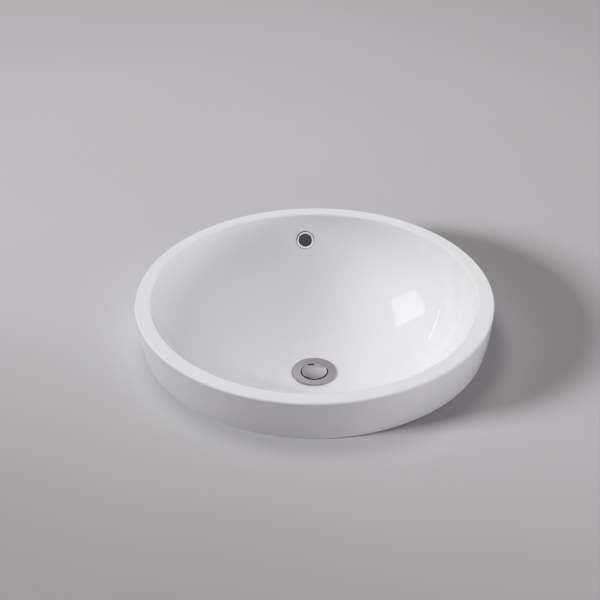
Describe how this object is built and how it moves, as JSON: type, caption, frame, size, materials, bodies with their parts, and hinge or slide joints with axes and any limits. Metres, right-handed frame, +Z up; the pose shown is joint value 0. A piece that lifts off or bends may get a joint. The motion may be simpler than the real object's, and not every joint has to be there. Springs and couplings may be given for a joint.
{
  "type": "countertop basin",
  "caption": "Round glazed drop-in basin with a raised rim, a back-wall overflow with its duct, and a press-to-open waste with a tail pipe.",
  "frame": {"origin": "on the basin's axis, in the plane of the worktop that the skirt's foot rests on", "axes": "+Z up along the basin's axis, +Y towards the overflow at the back, +X to the user's right"},
  "size_m": [0.48, 0.4798, 0.291],
  "materials": {
    "glaze": "glossy white glaze, bare and matt on the foot",
    "chrome": "polished chrome plate on brass",
    "brass": "machined",
    "steel": "drawn stainless",
    "rubber": "matt black",
    "washer_plastic": "milky",
    "acetal": "moulded"
  },
  "bodies": {
    "basin": {"basin_body": "glaze", "overflow_ring": "chrome", "waste_body": "chrome", "flange_gasket": "rubber", "lower_seal": "rubber", "friction_washer": "washer_plastic", "backnut": "brass", "tail_washer": "rubber", "tail_pipe": "chrome", "return_spring": "steel", "mechanism_housing": "brass", "gland_cap": "brass", "stem_o_ring": "rubber", "lock_washer": "steel", "mechanism_locknut": "brass"},
    "plug": {"plug_cap": "chrome", "plug_seal": "rubber", "plug_spindle": "steel", "plunger_sleeve": "acetal", "spindle_circlip": "steel"},
    "rotor": {"index_rotor": "acetal"}
  },
  "joints": [
    {"name": "plug_pop", "type": "slide", "parent": "basin", "child": "plug", "axis": [0, 0, 1], "range_m": [0, 0.009], "deforming": ["return_spring"]},
    {"name": "rotor_index", "type": "hinge", "parent": "plug", "child": "rotor", "pos_m": [0, 0, -0.11637], "axis": [0, 0, 1], "range_deg": [0, 45]}
  ],
  "couplings": [
    {"joint": "rotor_index", "follows": "plug_pop", "rad_per_m": 87}
  ]
}
